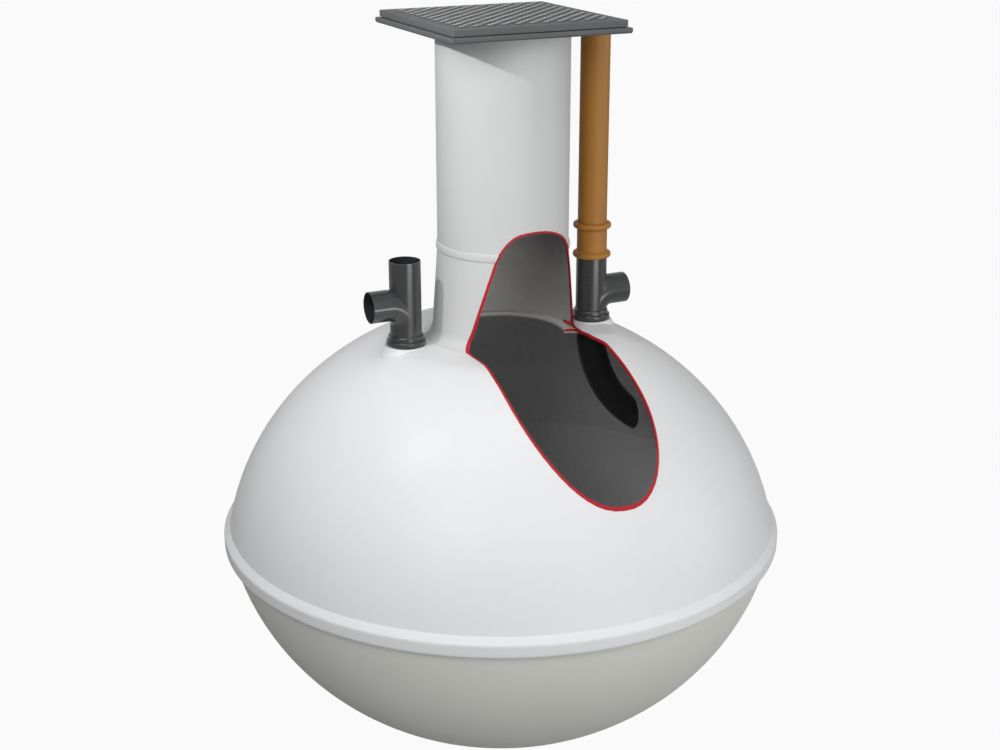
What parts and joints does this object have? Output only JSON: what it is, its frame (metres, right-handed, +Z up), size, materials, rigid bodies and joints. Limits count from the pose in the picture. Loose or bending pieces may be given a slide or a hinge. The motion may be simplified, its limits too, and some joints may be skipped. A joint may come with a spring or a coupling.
{
  "type": "septic tank",
  "caption": "Onion-shaped glass-fibre septic tank with access neck, square cover, two swept tees, a riser pipe and a viewing window cut through dome and neck.",
  "frame": {"origin": "on the tank's vertical axis at ground level, under the centre of the flat foot", "axes": "+Z up along the tank's axis, +X from the inlet towards the outlet, -Y towards the viewing window"},
  "size_m": [2.142, 2.1416, 2.816],
  "materials": {
    "bowl_gelcoat": "satin pale grey gel coat",
    "dome_gelcoat": "satin pale grey gel coat",
    "neck_gelcoat": "satin pale grey gel coat",
    "raw_laminate": "matt grey laminate",
    "cover_grey": "matt mid grey, moulded tread",
    "tee_charcoal": "satin charcoal",
    "dip_black": "satin black",
    "seal_rubber": "matt black rubber",
    "riser_ochre": "satin ochre orange",
    "edging_red": "satin red paint"
  },
  "bodies": {
    "root": {"bowl": "bowl_gelcoat", "base_foot": "bowl_gelcoat", "dome": "dome_gelcoat", "seam_rim": "dome_gelcoat", "inlet_boss": "dome_gelcoat", "outlet_boss": "dome_gelcoat", "neck_skirt": "neck_gelcoat", "neck_bead": "neck_gelcoat", "neck_shaft": "neck_gelcoat", "neck_doubler": "raw_laminate", "cover_frame": "cover_grey", "cover_spigot": "cover_grey", "cover_lid": "cover_grey", "inlet_seal": "seal_rubber", "outlet_seal": "seal_rubber", "inlet_collar": "tee_charcoal", "outlet_collar": "tee_charcoal", "inlet_tee": "tee_charcoal", "outlet_tee": "tee_charcoal", "inlet_dip_bend": "dip_black", "outlet_dip_bend": "dip_black", "riser_coupling": "riser_ochre", "riser_pipe": "riser_ochre", "dome_edging": "edging_red", "neck_edging": "edging_red"}
  },
  "joints": []
}
